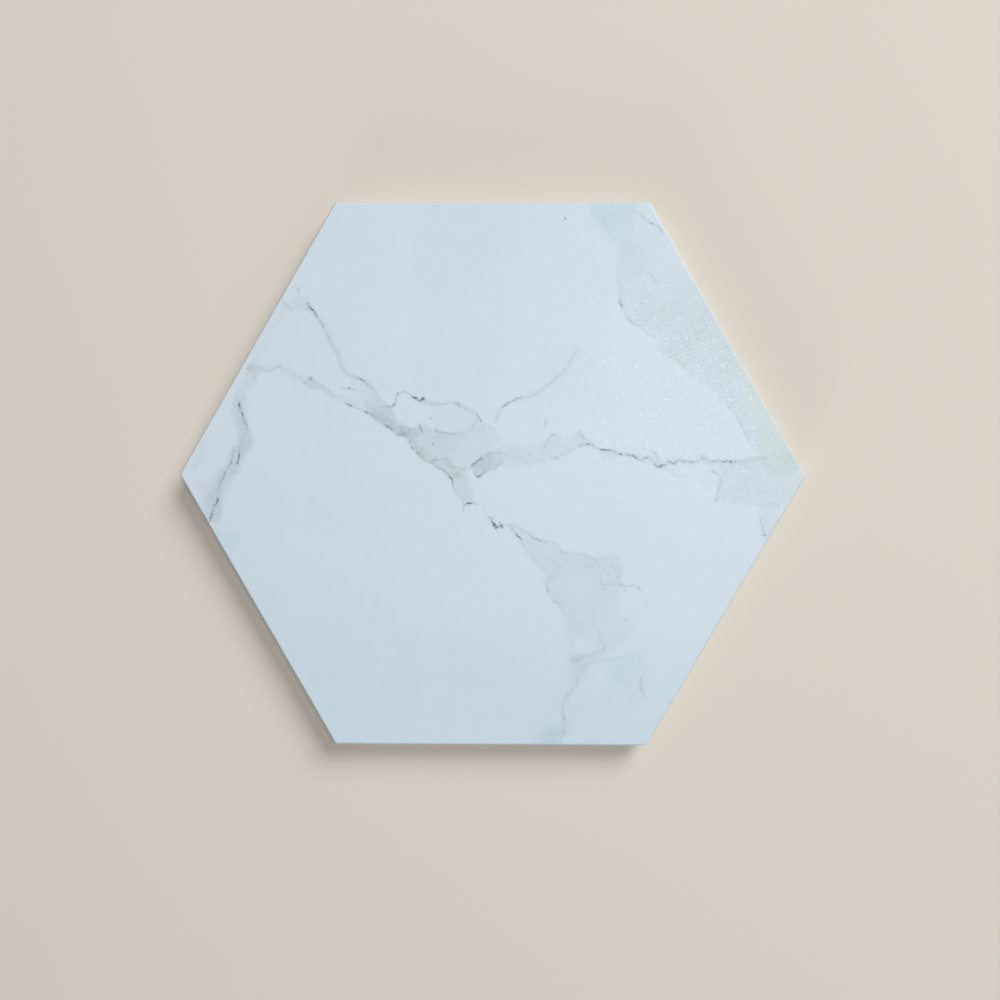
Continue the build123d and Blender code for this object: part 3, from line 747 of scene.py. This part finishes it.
def printed_face(tree, place, finish):
    """Colour of the printed marble look over the face, with its broad painted shade and painted cool
    cast, and where it is grey.
    """
    flat = vectors(tree, "MULTIPLY_ADD", place, (1.0, 1.0, 0.0), (0.0, 0.0, 1.0))
    line_place = drift(tree, flat, LINE_DRIFT)
    patch_place = drift(tree, flat, PATCH_DRIFT)

    vein_section = vein_section_group()
    lines = layered(tree, line_place, vein_section, vein_ink, LINES, "MAXIMUM")
    lines = layered(tree, line_place, speck_group(), speck_ink, SPECKS, "MAXIMUM", lines)
    section = patch_section_group()
    # Besides the print, the grey layer holds the painted shade over the upper middle.
    grey = layered(tree, patch_place, section, patch_ink, GREY_PRINT_AND_PAINTED_SHADE, "ADD")
    grey = layered(tree, patch_place, vein_section, vein_ink, VEILS, "ADD", grey)
    # Besides the print, the cool layer holds the painted shade towards the bottom and the painted cool
    # cast at the top.
    cool = layered(tree, patch_place, section, patch_ink, COOL_PRINT_AND_PAINTED_LIGHT, "ADD")
    warm = layered(tree, patch_place, section, patch_ink, WARM_PATCHES, "ADD")

    broken = mottle(tree, flat, BREAK_SIZE, 0.55, 1.35, 3.0, 0.65)
    lines = maths(tree, "MULTIPLY", lines, broken)
    core = spread(tree, lines, 0.5, 1.05, 0.0, 0.7, smooth=True)
    dark = maths(tree, "MULTIPLY_ADD", lines, FAINT_LINE, core, clamp=True)
    stipple = mottle(tree, flat, STIPPLE_SIZE, 0.65, 1.35, 3.0, 0.7)
    clouding = mottle(tree, flat, CLOUD_SIZE, 0.75, 1.25)
    grey = maths(tree, "MULTIPLY", maths(tree, "MULTIPLY", grey, stipple), clouding)
    cool = maths(tree, "MULTIPLY", cool, clouding)

    depth = finish.haze_depth
    ground = mottle(tree, flat, GROUND_SIZE, -GROUND_SWING, GROUND_SWING)
    taken = vectors(tree, "MULTIPLY_ADD", grey, (depth, depth, depth), ground)
    taken = vectors(tree, "MULTIPLY_ADD", cool, COOL_TAKES, taken)
    taken = vectors(tree, "MULTIPLY_ADD", warm, WARM_TAKES, taken)
    kept = vectors(tree, "SUBTRACT", (1.0, 1.0, 1.0), taken)
    shade = vectors(tree, "MULTIPLY", kept, tuple(finish.field_colour[:3]))
    return blend(tree, dark, shade, tuple(finish.line_colour)), grey


# The arris under the face, darkened there partly as thin glaze over the body and partly as painted
# shade, and the ragged end of the glaze, in millimetres
RIM_TOP = 0.03
RIM_FULL = 0.12
RIM_GLAZE_AND_SHADE_SHARE = 0.7
RAGGED_SIZE = 3.0
RAGGED_REACH = 0.9
GLAZE_STARTS = 0.5
GLAZE_FULL = 0.4
# The bare body, with blotches in millimetres and the depth in the key that the wash doesn't reach
BLOTCH_SIZE = 4.0
TOASTED_BODY = (0.47, 0.44, 0.39, 1.0)
WASH_TOP = 0.02
WASH_END = 0.25
WASH_SHARE = 0.75


def tile_material(finish):
    """Satin glazed face and arris over a bare fired body, in one material."""
    material = bpy.data.materials.new("glazed porcelain")
    material.use_nodes = True
    tree = material.node_tree
    tree.nodes.clear()
    place = put(tree, "ShaderNodeTexCoord", {}).outputs["Object"]
    place = vectors(tree, "MULTIPLY", place, (1.0 / MM, 1.0 / MM, 1.0 / MM))
    height = put(tree, "ShaderNodeSeparateXYZ", {0: place}).outputs["Z"]
    face_height = thickness / MM
    glaze_line = finish.glaze_line / MM

    glaze, grey = printed_face(tree, place, finish)
    # Painted shade in part: the arris is darkened all round so it catches less of the lamps' light, as
    # well as showing the thin glaze over the body.
    rim = spread(tree, height, face_height - RIM_FULL, face_height - RIM_TOP, RIM_GLAZE_AND_SHADE_SHARE, 0.0)
    glaze = blend(tree, rim, glaze, tuple(finish.rim_glaze_and_shade_colour))

    ragged = noise(tree, place, RAGGED_SIZE, 3.0, 0.6).outputs["Fac"]
    ragged = spread(tree, ragged, 0.2, 0.8, -RAGGED_REACH, RAGGED_REACH)
    edge_height = maths(tree, "ADD", height, ragged)
    glazed = spread(tree, edge_height, glaze_line - GLAZE_STARTS, glaze_line + GLAZE_FULL, smooth=True)

    blotches = noise(tree, place, BLOTCH_SIZE, 4.0, 0.65).outputs["Fac"]
    toasted = spread(tree, blotches, NOISE_LOW, NOISE_HIGH, 0.0, 0.4)
    body = blend(tree, toasted, tuple(finish.body_colour), TOASTED_BODY)
    on_ribs = spread(tree, height, WASH_TOP, WASH_END, WASH_SHARE, 0.0)
    washed = maths(tree, "MULTIPLY", on_ribs, spread(tree, blotches, 0.38, 0.60))
    body = blend(tree, washed, body, tuple(finish.wash_colour))

    more_on_grey = spread(tree, grey, 0.0, 0.4, -0.04, 0.08)
    more_in_blotches = spread(tree, blotches, NOISE_LOW, NOISE_HIGH, -0.13, 0.13)
    more = maths(tree, "ADD", more_on_grey, more_in_blotches)
    inputs = {"Place": place, "Size": finish.grain_size / MM, "More": more}
    grain = grouped(tree, grain_group(), inputs)
    satin, gloss = finish.glaze_roughness, finish.bright_roughness
    rough = spread(tree, grain["Bright grains"], 0.0, 1.0, satin, gloss)
    rough = put(tree, "ShaderNodeMix", {0: glazed, 2: finish.body_roughness, 3: rough}).outputs[0]
    relief = put(tree, "ShaderNodeMix", {0: glazed, 2: 2.0, 3: 1.0}).outputs[0]
    relief = maths(tree, "MULTIPLY", grain["Height"], relief)
    inputs = {"Strength": 1.0, "Distance": finish.grain_depth, "Height": relief}
    bump = put(tree, "ShaderNodeBump", inputs)
    # Painted glints in part: the bright grains are whitened in the base colour, as pale grains in the
    # glaze and as flecks that stand in for sparkle.
    pale = spread(tree, grain["Bright grains"], 0.0, 1.0, 0.0, finish.pale_grains_and_painted_glints)
    glaze = blend(tree, pale, glaze, (1.0, 1.0, 1.0, 1.0))
    shader = put(tree, "ShaderNodeBsdfPrincipled", {
        "Base Color": blend(tree, glazed, body, glaze),
        "Roughness": rough,
        "Normal": bump.outputs["Normal"]})
    put(tree, "ShaderNodeOutputMaterial", {"Surface": shader.outputs["BSDF"]})
    return material


class TILE_OT_finish(bpy.types.Operator):
    """Give the tile its glaze, its printed veining and its bare fired back"""
    bl_idname = "tile.finish"
    bl_label = "Finish the tile"

    def execute(self, context):
        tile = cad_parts[TILE_NODE]
        if not tile.material_slots:
            raise RuntimeError("The tile has no material slot to hold its finish")
        tile.material_slots[0].link = "OBJECT"
        tile.material_slots[0].material = tile_material(context.scene.tile_finish)
        return {"FINISHED"}


class TILE_OT_stage(bpy.types.Operator):
    """Set the floor, the soft light and the camera over the tile"""
    bl_idname = "tile.stage"
    bl_label = "Set the stage"

    def execute(self, context):
        scene = context.scene
        lay_floor(scene, scene.tile_stage)
        hang_lights(scene, scene.tile_stage)
        aim_camera(scene, scene.tile_stage)
        scene.view_settings.view_transform = "Standard"
        return {"FINISHED"}


FLOOR_HALF = 4.0
FLOOR_DROP = 0.05 * MM
FLOOR_ROUGHNESS = 0.9
FLOOR_SPECULAR = 0.2
FADE_START = 0.5
FADE_END = 2.2


def lay_floor(scene, setup):
    """A wide plain floor just under the tile, which runs into the backdrop far from it."""
    ends = (-FLOOR_HALF, FLOOR_HALF)
    corners = [(x, y, 0.0) for x in ends for y in ends]
    mesh = bpy.data.meshes.new("floor")
    mesh.from_pydata(corners, [], [(0, 2, 3, 1)])
    floor = bpy.data.objects.new("floor", mesh)
    floor.location.z = tile_low.z - FLOOR_DROP
    scene.collection.objects.link(floor)
    material = bpy.data.materials.new("plain floor")
    material.use_nodes = True
    tree = material.node_tree
    shader = fill(tree, tree.nodes["Principled BSDF"], {
        "Base Color": tuple(setup.floor_colour),
        "Roughness": FLOOR_ROUGHNESS,
        "Specular IOR Level": FLOOR_SPECULAR})
    place = put(tree, "ShaderNodeTexCoord", {}).outputs["Object"]
    away = put(tree, "ShaderNodeVectorMath", {0: place}, operation="LENGTH").outputs["Value"]
    seen = put(tree, "ShaderNodeLightPath", {}).outputs["Is Camera Ray"]
    far = maths(tree, "MULTIPLY", spread(tree, away, FADE_START, FADE_END, smooth=True), seen)
    backdrop = put(tree, "ShaderNodeEmission", {"Color": tuple(setup.backdrop_colour)})
    inputs = {0: far, 1: shader.outputs["BSDF"], 2: backdrop.outputs["Emission"]}
    faded = put(tree, "ShaderNodeMixShader", inputs).outputs["Shader"]
    fill(tree, tree.nodes["Material Output"], {"Surface": faded})
    mesh.materials.append(material)


OVERHEAD_PLACE = Vector((0.30, 0.14, 1.20))
WINDOW_PLACE = Vector((2.48, 3.14, 2.81))
RIM_PLACE = Vector((-1.20, -3.40, 0.45))


def hang_lamp(scene, name, place, size, watts):
    """A round soft lamp that looks at the tile."""
    light = bpy.data.lights.new(name, "AREA")
    light.shape = "DISK"
    light.size = size
    light.energy = watts
    lamp = bpy.data.objects.new(name, light)
    lamp.location = place
    lamp.rotation_euler = (-place).to_track_quat("-Z", "Y").to_euler()
    scene.collection.objects.link(lamp)


def hang_lights(scene, setup):
    """A small lamp overhead, a wide one to the upper right, a low one in front, and a dim sky."""
    hang_lamp(scene, "overhead lamp", OVERHEAD_PLACE, setup.overhead_size, setup.overhead_power)
    hang_lamp(scene, "window lamp", WINDOW_PLACE, setup.window_size, setup.window_power)
    hang_lamp(scene, "rim lamp", RIM_PLACE, setup.rim_size, setup.rim_power)
    scene.world = bpy.data.worlds.new("soft sky")
    scene.world.use_nodes = True
    tree = scene.world.node_tree
    rays = tree.nodes.new("ShaderNodeLightPath").outputs
    seen = maths(tree, "MAXIMUM", rays["Is Glossy Ray"], rays["Is Transmission Ray"])
    seen = maths(tree, "MAXIMUM", seen, rays["Is Camera Ray"])
    fill(tree, tree.nodes["Background"], {
        "Color": blend(tree, seen, (1.0, 1.0, 1.0, 1.0), tuple(setup.backdrop_colour)),
        "Strength": put(tree, "ShaderNodeMix", {0: seen, 2: setup.sky_level, 3: 1.0}).outputs[0]})


CAMERA_PLACE = (6.25 * MM, -2.63 * MM, 318.1 * MM)
CAMERA_TURN = (radians(-1.208), radians(0.575), radians(0.199))


def aim_camera(scene, setup):
    """A camera close over the face, looking almost straight down."""
    camera = bpy.data.cameras.new("camera")
    camera.lens = setup.lens
    camera.clip_start = 0.01
    eye = bpy.data.objects.new("camera", camera)
    eye.location = CAMERA_PLACE
    eye.rotation_euler = Euler(CAMERA_TURN)
    scene.collection.objects.link(eye)
    scene.camera = eye


class TILE_PT_panel(bpy.types.Panel):
    bl_label = "Hexagon porcelain tile"
    bl_idname = "TILE_PT_panel"
    bl_space_type = "VIEW_3D"
    bl_region_type = "UI"
    bl_category = "Tile"

    def draw(self, context):
        scene = context.scene
        pairs = ((scene.tile_finish, "tile.finish"), (scene.tile_stage, "tile.stage"))
        for settings, operator in pairs:
            box = self.layout.box()
            for name in settings.__annotations__:
                box.prop(settings, name)
            box.operator(operator)


CLASSES = (TileFinish, StageSetup, TILE_OT_finish, TILE_OT_stage, TILE_PT_panel)


def register():
    for cls in CLASSES:
        bpy.utils.register_class(cls)
    bpy.types.Scene.tile_finish = bpy.props.PointerProperty(type=TileFinish)
    bpy.types.Scene.tile_stage = bpy.props.PointerProperty(type=StageSetup)


def unregister():
    del bpy.types.Scene.tile_stage
    del bpy.types.Scene.tile_finish
    for cls in reversed(CLASSES):
        bpy.utils.unregister_class(cls)


def main():
    register()
    bpy.ops.tile.finish()
    bpy.ops.tile.stage()


if __name__ == "__main__":
    main()
